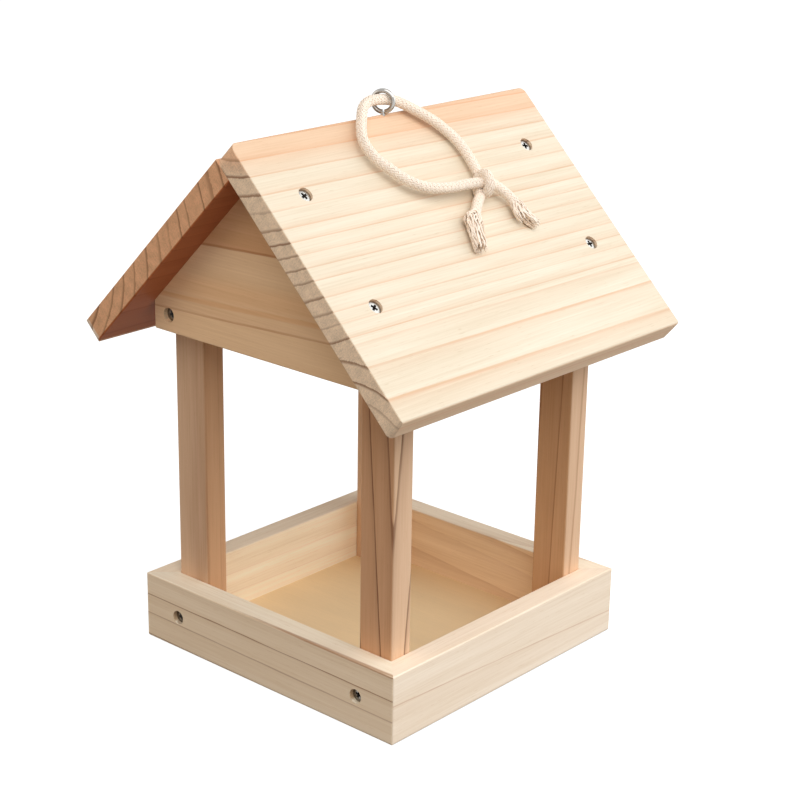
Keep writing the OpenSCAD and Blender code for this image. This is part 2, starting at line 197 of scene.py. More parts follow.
class Wiring:
    """Short calls that place and join shader nodes in one tree."""

    def __init__(self, tree):
        self.tree = tree

    def put(self, socket, value):
        if isinstance(value, bpy.types.NodeSocket):
            self.tree.links.new(value, socket)
        else:
            socket.default_value = value

    def node(self, kind, inputs=None, **settings):
        made = self.tree.nodes.new("ShaderNode" + kind)
        for name, value in settings.items():
            setattr(made, name, value)
        for name, value in (inputs or {}).items():
            self.put(made.inputs[name], value)
        return made

    def math(self, operation, *values):
        return self.node("Math", dict(enumerate(values)), operation=operation).outputs[0]

    def plus(self, first, *others):
        for other in others:
            first = self.math("ADD", first, other)
        return first

    def times(self, first, *others):
        for other in others:
            first = self.math("MULTIPLY", first, other)
        return first

    def vector(self, operation, *values):
        made = self.node("VectorMath", dict(enumerate(values)), operation=operation)
        return made.outputs["Value" if operation in ("LENGTH", "DOT_PRODUCT") else "Vector"]

    def scale(self, vector, factor):
        return self.node("VectorMath", {0: vector, "Scale": factor}, operation="SCALE").outputs["Vector"]

    def parts(self, vector):
        """The X, Y and Z of a vector."""
        return self.node("SeparateXYZ", {0: vector}).outputs

    def rise(self, value, low, high, bottom=0.0, top=1.0):
        """A smooth step from bottom at low to top at high."""
        inputs = {"Value": value, "From Min": low, "From Max": high, "To Min": bottom, "To Max": top}
        return self.node("MapRange", inputs, interpolation_type="SMOOTHSTEP").outputs["Result"]

    def fall(self, value, low, high):
        """A smooth step from 1 at low to 0 at high."""
        return self.rise(value, low, high, 1.0, 0.0)

    def span(self, value, bottom, top):
        """Stretches a value from 0 to 1 over bottom to top."""
        return self.node("MapRange", {"Value": value, "To Min": bottom, "To Max": top}).outputs["Result"]

    def between(self, share, first, second):
        """Mix of two values, which are the Mix node's sockets 2 and 3."""
        return self.node("Mix", {0: share, 2: first, 3: second}).outputs[0]

    def mix(self, share, first, second, blend="MIX"):
        """Mix of two colours, which are the Mix node's sockets 6 and 7."""
        made = self.node("Mix", {0: share, 6: first, 7: second}, data_type="RGBA", blend_type=blend)
        return made.outputs[2]

    def tint(self, base, factor):
        """A colour times another colour or a value."""
        return self.mix(1.0, base, factor, blend="MULTIPLY")

    def noise(self, place, stretch=(1, 1, 1), scale=1.0, detail=2.0, roughness=0.5):
        """Noise from 0 to 1, stretched by its repeats in a millimetre along each axis."""
        stretched = self.vector("MULTIPLY", place, stretch)
        inputs = {"Vector": stretched, "Scale": scale, "Detail": detail, "Roughness": roughness}
        return self.node("TexNoise", inputs).outputs[0]

    def chance(self, number):
        """A fixed random value from 0 to 1 for each whole number."""
        return self.node("TexWhiteNoise", {"W": number}, noise_dimensions="1D").outputs["Value"]

    def object_mm(self):
        """Object coordinates in millimetres."""
        return self.scale(self.node("TexCoord").outputs["Object"], 1 / MM)

    def looking(self, direction):
        """How squarely a face looks in a direction: 1 straight along it, and -1 straight against it."""
        return self.vector("DOT_PRODUCT", self.node("TexCoord").outputs["Normal"], tuple(direction))

    def bump(self, shader, height, depth, strength):
        """Roughens a shader's surface by a height, whose depth is in metres."""
        made = self.node("Bump", {"Height": height, "Distance": depth, "Strength": strength})
        self.put(shader.inputs["Normal"], made.outputs[0])

    def group(self, name, **inputs):
        made = self.tree.nodes.new("ShaderNodeGroup")
        made.node_tree = bpy.data.node_groups[name]
        for socket, value in inputs.items():
            self.put(made.inputs[socket.replace("_", " ")], value)
        return made.outputs

    def show_apart(self, output, light, seen):
        """Gives one shader to light, and one to rays from the camera, straight or by a reflection."""
        rays = self.node("LightPath").outputs
        shown = self.math("MAXIMUM", rays["Is Camera Ray"], rays["Is Glossy Ray"])
        shown = self.math("MAXIMUM", shown, rays["Is Transmission Ray"])
        pick = self.node("MixShader", {0: shown, 1: light.outputs[0], 2: seen.outputs[0]})
        self.put(self.tree.nodes[output].inputs["Surface"], pick.outputs[0])


SOCKETS = {"value": "NodeSocketFloat", "vector": "NodeSocketVector", "colour": "NodeSocketColor"}


def new_group(name, inputs, outputs):
    """An empty shader node group: its wiring, its inputs by name and a call that joins an output."""
    tree = bpy.data.node_groups.new(name, "ShaderNodeTree")
    for in_out, sockets in (("INPUT", inputs), ("OUTPUT", outputs)):
        for socket, kind in sockets.items():
            tree.interface.new_socket(socket, in_out=in_out, socket_type=SOCKETS[kind])
    source = tree.nodes.new("NodeGroupInput").outputs
    sink = tree.nodes.new("NodeGroupOutput").inputs
    return Wiring(tree), source, lambda socket, value: tree.links.new(value, sink[socket])


def new_material(name):
    """A material with its wiring and its Principled BSDF."""
    material = bpy.data.materials.new(name)
    material.use_nodes = True
    wiring = Wiring(material.node_tree)
    return material, wiring, material.node_tree.nodes["Principled BSDF"]


def full(rgb):
    return (*rgb, 1.0)


def growth_rings():
    """Group: distance of a place in a board from its tree's pith, in millimetres."""
    inputs = {
        "Place": "vector", "Pith": "vector", "Lean": "vector", "Wander": "value",
        "Glue Line": "value", "Stave Shift": "vector", "Stave Offset": "value",
    }
    outputs = {"Distance": "value", "Stave Place": "vector"}
    w, source, give = new_group("Growth rings", inputs, outputs)
    second = w.math("GREATER_THAN", w.parts(source["Place"])["Y"], source["Glue Line"])
    place = w.vector("ADD", source["Place"], w.scale(source["Stave Shift"], second))

    def swing(stretch, detail, size):
        """Noise about zero."""
        return w.times(w.math("SUBTRACT", w.noise(place, stretch, detail=detail), 0.5), size)

    sway = w.plus(
        swing((0.007, 0.03, 0.03), 1.0, 2.0),
        swing((0.03, 0.1, 0.1), 2.0, 0.6),
        swing((0.05, 0.8, 0.8), 2.0, 0.5),
    )
    lean = w.scale(source["Lean"], w.parts(place)["X"])
    from_pith = w.vector("SUBTRACT", w.vector("SUBTRACT", place, source["Pith"]), lean)
    flat = w.vector("MULTIPLY", from_pith, (0, 1, 1))
    distance = w.plus(w.vector("LENGTH", flat), w.times(sway, source["Wander"]))
    give("Distance", w.math("MULTIPLY_ADD", second, source["Stave Offset"], distance))
    give("Stave Place", place)


# Tints of the darkest and the palest fibres
DARK_FIBRES = (0.86, 0.80, 0.72, 1)
PALE_FIBRES = (1.14, 1.20, 1.28, 1)


def pine_figure():
    """Group: colour, height and roughness of pine from its ring number."""
    inputs = {
        "Ring": "value", "Place": "vector", "End Grain": "value",
        "Early Wood": "colour", "Late Wood": "colour", "End Tone": "colour", "End Line": "colour",
        "Strength": "value", "Softness": "value", "Line Share": "value",
    }
    outputs = {"Colour": "colour", "Height": "value", "Roughness": "value"}
    w, source, give = new_group("Pine figure", inputs, outputs)
    place, ring, share, on_end = (source[name] for name in ("Place", "Ring", "Line Share", "End Grain"))
    part = w.math("FRACT", ring)
    chance = w.chance(w.math("FLOOR", ring))

    # Late wood grows darker towards the end of a year and stops at once
    soft = w.times(w.rise(part, 0.40, 0.95), w.fall(part, 0.96, 1.0))
    start = w.math("SUBTRACT", 1.0, share)
    dense = w.math("MULTIPLY_ADD", share, -0.4, 1.0)
    stop = w.math("MULTIPLY_ADD", share, -0.2, 1.0)
    line = w.times(w.rise(part, start, dense), w.fall(part, stop, 1.0))
    patchy = w.rise(w.noise(place, (0.012, 0.25, 0.25)), 0.25, 0.7, 0.55, 1.0)
    late = w.between(source["Softness"], line, soft)
    late = w.times(late, w.span(chance, 0.6, 1.0), patchy, source["Strength"])
    face = w.mix(late, source["Early Wood"], source["Late Wood"])

    # Fibres and short resin flecks run along the grain, over slow changes of tone
    fibres = w.noise(place, (0.02, 1.1, 1.1), detail=3.0, roughness=0.6)
    fine = w.noise(place, (0.08, 5.0, 5.0))
    slow = w.noise(place, (0.006, 0.02, 0.02), detail=1.0)
    bands = w.noise(place, (0.008, 0.16, 0.16))
    flecks = w.rise(w.noise(place, (0.14, 2.6, 2.6), detail=1.0), 0.67, 0.77)
    shade = w.plus(w.span(fibres, 0.1, 0.9), w.span(slow, -0.15, 0.15), w.span(bands, -0.28, 0.28))
    shade = w.math("SUBTRACT", shade, w.times(flecks, 0.35))
    face = w.tint(face, w.mix(shade, DARK_FIBRES, PALE_FIBRES))

    # Sawn end grain is greyer and fuzzy, with each year's line sharp and dark
    fuzz = w.noise(place, (1.0, 1.3, 1.3), detail=4.0, roughness=0.8)
    mottle = w.noise(place, (0.1, 0.22, 0.22))
    saw = w.noise(place, (0.5, 4.0, 0.4))
    rub = w.plus(w.span(fuzz, 0.50, 1.50), w.span(saw, -0.18, 0.18), w.span(mottle, -0.24, 0.24))
    grey = w.tint(source["End Tone"], rub)
    torn = w.plus(part, w.span(fuzz, -0.08, 0.08), w.span(mottle, -0.07, 0.07))
    dark = w.times(w.rise(torn, 0.76, 0.92), w.fall(torn, 0.96, 1.0))
    dark = w.times(dark, w.span(chance, 0.3, 0.9), w.span(fuzz, 0.45, 1.45))
    end = w.mix(w.math("MINIMUM", dark, 1.0), grey, source["End Line"])

    give("Colour", w.mix(on_end, face, end))
    flat = w.plus(w.times(fibres, 0.5), w.times(fine, 0.3), w.times(late, 0.3))
    rough = w.plus(w.times(fuzz, 2.0), w.times(saw, 1.2))
    give("Height", w.between(on_end, flat, rough))
    give("Roughness", w.plus(w.span(fibres, 0.52, 0.66), w.times(on_end, 0.25)))


def board_place(w, grain, across, origin):
    """Wires millimetres along the grain, across it and through the board, from an origin in metres."""
    grain, across = Vector(grain), Vector(across)
    turn = Matrix((grain, across, grain.cross(across)))
    inputs = {
        "Vector": w.node("TexCoord").outputs["Object"],
        "Location": turn @ Vector(origin) / -MM,
        "Rotation": turn.to_euler("XYZ"),
        "Scale": (1 / MM,) * 3,
    }
    return w.node("Mapping", inputs, vector_type="POINT").outputs[0]


def end_grain(w, grain):
    """Wires a mask of the faces that cut across the grain."""
    return w.rise(w.math("ABSOLUTE", w.looking(grain)), 0.55, 0.85)


def ring_marks(w, distance, marks):
    """Wires a ring number that passes a whole number at each mark, in millimetres from the pith."""
    low, high = marks[0], marks[-1]
    share = w.node("MapRange", {"Value": distance, "From Min": low, "From Max": high}).outputs["Result"]
    curve = w.node("FloatCurve", {"Value": share})
    points = curve.mapping.curves[0].points
    for number, mark in enumerate(marks[1:-1], start=1):
        points.new((mark - low) / (high - low), number / (len(marks) - 1))
    for point in points:
        point.handle_type = "VECTOR"
    curve.mapping.update()
    return w.times(curve.outputs[0], float(len(marks) - 1))


def even_rings(w, distance, spacing, phase):
    """Wires a ring number for years of about one width, in millimetres."""
    uneven = w.noise(w.vector("MULTIPLY", (1, 1, 1), distance), scale=0.45 / spacing, detail=0.0)
    return w.plus(w.math("MULTIPLY_ADD", distance, 1 / spacing, phase), w.span(uneven, -0.8, 0.8))


# A distance past the end of every board, in millimetres
FAR_OFF = 1e6


def pine(
    name, grain, across, origin, early, pith, lean=(0, 0), spacing=7.0, phase=0.0, wander=0.8,
    late=(0.56, 0.30, 0.15), end_tone=(0.64, 0.45, 0.28), end_line=(0.20, 0.10, 0.05),
    strength=0.8, softness=0.3, line_share=0.12,
    glue_line=FAR_OFF, stave_shift=(0, 0, 0), stave_offset=0.0, marks=None, tints=(),
):
    """Pine cut from its own place in a tree: pith and lean place the growth rings in the board.

    The years end at marks, or else evenly, by spacing and phase. Past its glue line a board is a second
    stave, shifted in the tree. Each tint is a mask and the colour that multiplies the wood under it.
    """
    material, w, shader = new_material(name)
    place = board_place(w, grain, across, origin)
    rings = w.group(
        "Growth rings", Place=place, Pith=(0, *pith), Lean=(0, *lean), Wander=wander,
        Glue_Line=glue_line, Stave_Shift=stave_shift, Stave_Offset=stave_offset,
    )
    distance = rings["Distance"]
    ring = ring_marks(w, distance, marks) if marks else even_rings(w, distance, spacing, phase)
    figure = w.group(
        "Pine figure", Ring=ring, Place=rings["Stave Place"], End_Grain=end_grain(w, grain),
        Early_Wood=full(early), Late_Wood=full(late), End_Tone=full(end_tone), End_Line=full(end_line),
        Strength=strength, Softness=softness, Line_Share=line_share,
    )
    shown = figure["Colour"]
    for mask, tint in tints:
        shown = w.tint(shown, w.mix(mask(w, place, distance), WHITE, full(tint)))
    w.put(shader.inputs["Base Color"], shown)
    w.put(shader.inputs["Roughness"], figure["Roughness"])
    shader.inputs["Specular IOR Level"].default_value = 0.12
    w.bump(shader, figure["Height"], depth=0.06 * MM, strength=0.6)
    return material


def facing(direction):
    """A mask of the faces that look in a direction."""

    def mask(w, place, distance):
        return w.rise(w.looking(direction), 0.5, 0.9)

    return mask


def heartwood(radius, blend, end=FAR_OFF):
    """A mask of the wood within a distance of the pith and short of a place across, in millimetres."""

    def mask(w, place, distance):
        near = w.fall(distance, radius - blend, radius)
        return w.times(near, w.math("LESS_THAN", w.parts(place)["Y"], end))

    return mask


def band(low, high, blend):
    """A mask of the wood between two distances from the pith, in millimetres."""

    def mask(w, place, distance):
        return w.times(w.rise(distance, low - blend, low), w.fall(distance, high, high + blend))

    return mask


def plywood(name, early, origin):
    """Rotary-cut veneer: broad soft figure with fine open grain."""
    material, w, shader = new_material(name)
    place = board_place(w, RIGHT, ALONG_RIDGE, origin)
    broad = w.noise(place, (0.012, 0.05, 0.05), detail=3.0)
    fibres = w.noise(place, (0.05, 1.6, 1.0), detail=3.0, roughness=0.6)
    pores = w.rise(w.noise(place, (0.25, 3.5, 1.0), detail=1.0), 0.66, 0.76)
    tone = w.plus(w.span(broad, 0.90, 1.10), w.span(fibres, -0.05, 0.05))
    tone = w.math("SUBTRACT", tone, w.times(pores, 0.07))
    w.put(shader.inputs["Base Color"], w.tint(full(early), tone))
    w.put(shader.inputs["Roughness"], w.span(fibres, 0.55, 0.68))
    shader.inputs["Specular IOR Level"].default_value = 0.3
    w.bump(shader, fibres, depth=0.05 * MM, strength=0.5)
    return material


def metal(name, base, roughness):
    """Plated steel with faint drawing marks."""
    material, w, shader = new_material(name)
    marks = w.noise(w.object_mm(), (3.0, 3.0, 0.6), detail=3.0)
    w.put(shader.inputs["Base Color"], w.tint(full(base), w.span(marks, 0.9, 1.1)))
    w.put(shader.inputs["Roughness"], w.span(marks, roughness * 0.8, roughness * 1.3))
    shader.inputs["Metallic"].default_value = 1.0
    w.bump(shader, marks, depth=0.01 * MM, strength=0.4)
    return material


def cotton(name, base, seam):
    """Soft spun cotton: the map runs in millimetres along a yarn and once round it."""
    material, w, shader = new_material(name)
    along, around, _ = w.parts(w.node("UVMap", uv_map="yarn").outputs[0])
    twist = w.math("PINGPONG", w.math("MULTIPLY_ADD", around, 3.0, w.times(along, 1.1)), 0.5)
    place = w.object_mm()
    blotch = w.noise(place, scale=0.35, detail=3.0)
    fuzz = w.noise(place, scale=5.0)
    tone = w.plus(w.span(blotch, 0.93, 1.09), w.span(twist, -0.12, 0.18))
    # Painted shade along each yarn's two sides, where it meets its neighbours in the braid
    edge = w.math("ABSOLUTE", w.math("COSINE", w.times(around, math.tau)))
    painted_crevice_shade = w.mix(w.rise(edge, 0.70, 1.0), WHITE, full(seam))
    w.put(shader.inputs["Base Color"], w.tint(w.tint(full(base), tone), painted_crevice_shade))
    shader.inputs["Roughness"].default_value = 0.9
    shader.inputs["Specular IOR Level"].default_value = 0.15
    shader.inputs["Sheen Weight"].default_value = 0.4
    shader.inputs["Sheen Tint"].default_value = (1.0, 0.86, 0.74, 1.0)
    w.bump(shader, w.plus(twist, w.times(fuzz, 0.4)), depth=0.08 * MM, strength=0.5)
    return material


# Rope geometry

# Pieces of the smooth curve between two points of a route
CURVE_STEPS = 24
# A yarn's thickness as a share of its width
YARN_FLATNESS = 0.7
# A plain core: how much thinner than the rope it is, how many points apart its rings are, and its sides
CORE_INSET = 1.3 * MM
CORE_STRIDE = 4
CORE_SIDES = 8
ROOF_OUT = np.array(RIGHT_OUT)


def unit(vectors):
    return vectors / np.linalg.norm(vectors, axis=-1, keepdims=True)


def smooth(share):
    share = np.clip(share, 0, 1)
    return share * share * (3 - 2 * share)


def distances(line):
    """Distance of each point from the first one, along the line."""
    return np.concatenate([[0], np.cumsum(np.linalg.norm(np.diff(line, axis=0), axis=1))])


def smooth_route(points, step):
    """Even points on a smooth curve through the given ones, with their distances and the given ones'."""
    points = np.array(points)
    padded = np.vstack([2 * points[0] - points[1], points, 2 * points[-1] - points[-2]])
    fine = []
    for four in zip(padded, padded[1:], padded[2:], padded[3:]):
        p0, p1, p2, p3 = four
        gaps = [np.linalg.norm(after - before) ** 0.5 for before, after in zip(four, four[1:])]
        t0, t1, t2, t3 = np.cumsum([0, *gaps])
        t = np.linspace(t1, t2, CURVE_STEPS, endpoint=False)[:, None]
        a1 = ((t1 - t) * p0 + (t - t0) * p1) / (t1 - t0)
        a2 = ((t2 - t) * p1 + (t - t1) * p2) / (t2 - t1)
        a3 = ((t3 - t) * p2 + (t - t2) * p3) / (t3 - t2)
        b1 = ((t2 - t) * a1 + (t - t0) * a2) / (t2 - t0)
        b2 = ((t3 - t) * a2 + (t - t1) * a3) / (t3 - t1)
        fine.append(((t2 - t) * b1 + (t - t1) * b2) / (t2 - t1))
    fine = np.vstack([*fine, points[-1:]])
    reach = distances(fine)
    even = np.linspace(0, reach[-1], round(reach[-1] / step) + 1)
    line = np.stack([np.interp(even, reach, fine[:, axis]) for axis in range(3)], axis=1)
    return line, even, reach[::CURVE_STEPS]


class Rope:
    """The whole rope as one braid: right tail, knot, loop through the eye, knot again and left tail."""

    # Distance between two points of the line
    STEP = 0.42 * MM
    # How far a yarn's middle lies inside the rope's outline, and how far it goes in and out at a crossing
    INSET = 0.52 * MM
    WAVE = 0.24 * MM
    # Distance between a strand's two yarns as a share of their width
    YARN_GAP = 0.78

    def __init__(self, settings):
        self.settings = settings
        legs = [TAIL_RIGHT_ROUTE[::-1], KNOT_CORE_ROUTE, LOOP_ROUTE, KNOT_WRAP_ROUTE, TAIL_LEFT_ROUTE]
        points = [on_slope(place) for leg in legs for place in leg]
        self.line, self.reach, marks = smooth_route(points, self.STEP)
        core = len(TAIL_RIGHT_ROUTE) - 1
        loop = core + 1 + len(KNOT_CORE_ROUTE)
        wrap = loop + len(LOOP_ROUTE) - 1
        tail = wrap + 1 + len(KNOT_WRAP_ROUTE)
        self.stops = {
            "tail_right": (marks[0], marks[core]),
            "knot_core": (marks[core], marks[loop]),
            "loop": (marks[loop], marks[wrap]),
            "knot_wrap": (marks[wrap], marks[tail]),
            "tail_left": (marks[tail], marks[-1]),
        }
        self.tangent = unit(np.gradient(self.line, axis=0))
        side = ROOF_OUT
        sides = []
        for tangent in self.tangent:
            side = unit(side - tangent * (side @ tangent))
            sides.append(side)
        self.side = np.array(sides)
        self.up = np.cross(self.tangent, self.side)

    def span(self, leg):
        """Indices of the points on one leg."""
        first, last = (int(np.searchsorted(self.reach, stop - 1e-9)) for stop in self.stops[leg])
        return np.arange(first, last + 1)

    def yarns(self):
        """Each yarn as its direction, its strand's number and its place in the strand."""
        for way in (1, -1):
            for strand in range(self.settings.pairs):
                for beside in (-0.5, 0.5):
                    yield way, strand, beside

    def braid(self, yarn, reach):
        """Angle and radius of one yarn about the rope's middle: two over, two under."""
        way, strand, beside = yarn
        settings = self.settings
        turn = math.tau * reach / settings.lay
        crossing = 2 * strand + way * 2 * settings.pairs * turn / math.tau
        wave = way * np.sin(math.pi / 2 * crossing + math.pi / 4)
        middle = settings.diameter / 2 - self.INSET
        slant = math.cos(math.atan(math.tau * middle / settings.lay))
        apart = beside * self.YARN_GAP * settings.yarn / slant / middle
        angle = way * turn + math.tau * strand / settings.pairs + apart
        return angle, middle + self.WAVE * wave

    def around(self, angle, part):
        return self.side[part] * np.cos(angle)[:, None] + self.up[part] * np.sin(angle)[:, None]


class Bundle:
    """Tubes gathered into one mesh, with a map that runs along and round each yarn."""

    def __init__(self):
        self.vertices, self.faces, self.maps, self.count = [], [], [], 0

    def add(self, line, out, width, depth, sides=5):
        """A closed tube along a line, out being the direction of its depth at each point."""
        tangent = unit(np.gradient(line, axis=0))
        across = unit(np.cross(tangent, out))
        out = np.cross(across, tangent)
        angles = np.arange(sides) * math.tau / sides
        width, depth = np.broadcast_to(width, len(line)), np.broadcast_to(depth, len(line))
        ring = across[:, None] * (np.cos(angles)[None, :] * width[:, None])[..., None] / 2
        ring = ring + out[:, None] * (np.sin(angles)[None, :] * depth[:, None])[..., None] / 2
        self.vertices.append((line[:, None] + ring).reshape(-1, 3))
        reach = distances(line) / MM
        for i in range(len(line) - 1):
            for k in range(sides):
                base, turn = self.count + i * sides, (k + 1) % sides
                self.faces.append((base + k, base + turn, base + sides + turn, base + sides + k))
                left, right = k / sides, (k + 1) / sides
                self.maps += [reach[i], left, reach[i], right, reach[i + 1], right, reach[i + 1], left]
        end = self.count + (len(line) - 1) * sides
        self.faces.append(tuple(range(self.count + sides - 1, self.count - 1, -1)))
        self.faces.append(tuple(range(end, end + sides)))
        self.maps += [0.0, 0.0] * sides + [reach[-1], 0.0] * sides
        self.count = end + sides

    def make(self, name, material):
        mesh = bpy.data.meshes.new(name)
        mesh.from_pydata(np.vstack(self.vertices).tolist(), [], self.faces)
        mesh.uv_layers.new(name="yarn").data.foreach_set("uv", self.maps)
        mesh.polygons.foreach_set("use_smooth", [True] * len(mesh.polygons))
        mesh.materials.append(material)
        piece = bpy.data.objects.new(name, mesh)
        bpy.context.scene.collection.objects.link(piece)
        return piece


def add_core(bundle, rope, part):
    """Adds a plain core, so that no light comes through the braid."""
    core = part[::CORE_STRIDE]
    thick = rope.settings.diameter - CORE_INSET
    bundle.add(rope.line[core], rope.side[core], thick, thick, sides=CORE_SIDES)


def braided(bundle, rope, leg):
    """Adds one leg of the rope to a bundle: a plain core and all its yarns."""
    part = rope.span(leg)
    add_core(bundle, rope, part)
    width = rope.settings.yarn
    for yarn in rope.yarns():
        angle, radius = rope.braid(yarn, rope.reach[part])
        out = rope.around(angle, part)
        bundle.add(rope.line[part] + out * radius[:, None], out, width, YARN_FLATNESS * width)


class Fray:
    """A cut rope end: braided as far as its start, then the yarns come apart and lie down on the roof."""

    # Lengths past the start: where the core ends, and over which the yarns stop turning round the rope
    CORE_END = 2 * MM
    SLACK = 6 * MM
    # Past the start, the end bulges about one place and spreads over a length, less upwards than sideways
    BULGE_AT = 6 * MM
    BULGE_REACH = 3.5 * MM
    BULGE_RISE = 3 * MM
    SPREAD_REACH = 9 * MM
    UPWARD_SHARE = 0.6
    # The heart's thickness, the share of it that a taper takes away, and how far it stops short of the end
    HEART = 3.7 * MM
    HEART_LOSS = 0.45
    HEART_TAPER = 11 * MM
    HEART_SHORT = 5 * MM
    # Yarns from inside the rope, their distance from its middle and their share of the others' width
    LOOSE_YARNS = 30
    LOOSE_RADIUS = (0.8, 2.0)
    LOOSE_WIDTH = 0.9
    # How far a yarn's end may be moved, in millimetres, and the shortest length of its drift
    END_CHANGE = (-2.2, 0.6)
    DRIFT_REACH = 4 * MM
    # A loose yarn's sway: its rates in a millimetre, how far it goes, and the length over which it begins
    SWAY_RATES = (0.6, 1.8)
    SWAY_BESIDE = 0.16 * MM
    SWAY_UPWARD = 0.14 * MM
    SWAY_SECOND = 0.6
    SWAY_RISE = 6 * MM
    # Height of a yarn's middle over the roof as a share of its width, and the length of its thinner tip
    LYING = 0.55
    TIP = 1.5 * MM

    def __init__(self, rope, leg, start, bulge, spread, seed):
        self.rope, self.start, self.chance = rope, start * MM, random.Random(seed)
        part = rope.span(leg)
        way = -1 if leg == "tail_right" else 1
        self.part = part[::way]
        self.line = rope.line[self.part]
        self.beside = unit(np.cross(ROOF_OUT, rope.tangent[self.part] * way))
        self.reach = np.abs(rope.reach[self.part] - rope.reach[self.part[0]])
        self.free = np.clip(self.reach - self.start, 0, None)
        held = np.minimum(self.reach, self.start) + self.SLACK * (1 - np.exp(-self.free / self.SLACK))
        self.held = rope.reach[self.part[0]] + held * way
        hump = np.exp(-(((self.free - self.BULGE_AT) / self.BULGE_REACH) ** 2))
        hump = hump * smooth(self.free / self.BULGE_RISE)
        self.wide = 1 + bulge * hump + spread * smooth(self.free / self.SPREAD_REACH)
        self.high = 1 + self.UPWARD_SHARE * (self.wide - 1)

    def add(self, bundle, splits):
        """Adds every yarn. A split is a range beside the middle, a drift and an end, in millimetres."""
        width = self.rope.settings.yarn
        add_core(bundle, self.rope, self.part[self.free < self.CORE_END])
        self.heart(bundle)
        for yarn in self.rope.yarns():
            angle, radius = self.rope.braid(yarn, self.held)
            self.strand(bundle, angle, radius, width, splits)
        for _ in range(self.LOOSE_YARNS):
            angle = np.full(len(self.line), self.chance.uniform(0, math.tau))
            radius = np.full(len(self.line), self.chance.uniform(*self.LOOSE_RADIUS) * MM)
            self.strand(bundle, angle, radius, self.LOOSE_WIDTH * width, splits)

    def heart(self, bundle):
        """A plain core under the loose yarns, so that no gap between them looks empty."""
        inside = (self.free > 0) & (self.reach < self.reach[-1] - self.HEART_SHORT)
        inner = np.flatnonzero(inside)[::CORE_STRIDE]
        above = np.broadcast_to(ROOF_OUT, (len(inner), 3))
        thick = self.HEART * (1 - self.HEART_LOSS * smooth(self.free[inner] / self.HEART_TAPER))
        wide, high = thick * self.wide[inner], thick * self.high[inner]
        bundle.add(self.line[inner], above, wide, high, sides=CORE_SIDES)

    def strand(self, bundle, angle, radius, width, splits):
        """Adds one yarn, which drifts away with its split, sways and rests on the roof."""
        chance = self.chance
        out = self.rope.around(angle, self.part)
        offset = out * radius[:, None]
        sideways = (offset * self.beside).sum(axis=1) * self.wide
        upward = offset @ ROOF_OUT * self.high
        drift, end = 0.0, self.reach[-1]
        for low, high, split_drift, split_end in splits:
            if low <= sideways[-1] / MM < high:
                drift, end = split_drift * MM, split_end * MM
        end += chance.uniform(*self.END_CHANGE) * MM
        away = smooth(self.free / max(end - self.start, self.DRIFT_REACH))
        waves = [(chance.uniform(*self.SWAY_RATES), chance.uniform(0, math.tau)) for _ in range(4)]
        sway = [np.sin(self.free / MM * rate + phase) - math.sin(phase) for rate, phase in waves]
        begun = smooth(self.free / self.SWAY_RISE)
        sideways = sideways + drift * away
        sideways = sideways + self.SWAY_BESIDE * begun * (sway[0] + self.SWAY_SECOND * sway[1])
        upward = upward + self.SWAY_UPWARD * begun * (sway[2] + self.SWAY_SECOND * sway[3])
        place = self.line + self.beside * sideways[:, None] + ROOF_OUT * upward[:, None]
        height = (place - np.array(RIDGE_PEAK)) @ ROOF_OUT
        place = place + ROOF_OUT * np.clip(self.LYING * width - height, 0, None)[:, None]
        keep = self.reach <= end
        tip = smooth((end - self.reach[keep]) / self.TIP) * 0.5 + 0.5
        bundle.add(place[keep], out[keep], width * tip, YARN_FLATNESS * width * tip)


# Operators


def dress(piece, body, slot, *nodes):
    """Puts a new piece on its body in place of CAD nodes."""
    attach(piece, body)
    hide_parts(*nodes)
    return piece


def set_material(node, material):
    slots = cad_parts[node].data.materials
    slots.clear()
    slots.append(material)


def clad(node, **cut):
    """Gives a board its own pine."""
    set_material(node, pine(node, **cut))


def middle(node):
    low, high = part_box(node)
    return (low + high) / 2


def clear_selection():
    if bpy.context.object and bpy.context.object.mode != "OBJECT":
        bpy.ops.object.mode_set(mode="OBJECT")
    bpy.ops.object.select_all(action="DESELECT")


def select(*pieces):
    """Selects only these pieces, with the first one active."""
    clear_selection()
    for piece in pieces:
        piece.select_set(True)
    bpy.context.view_layer.objects.active = pieces[0]


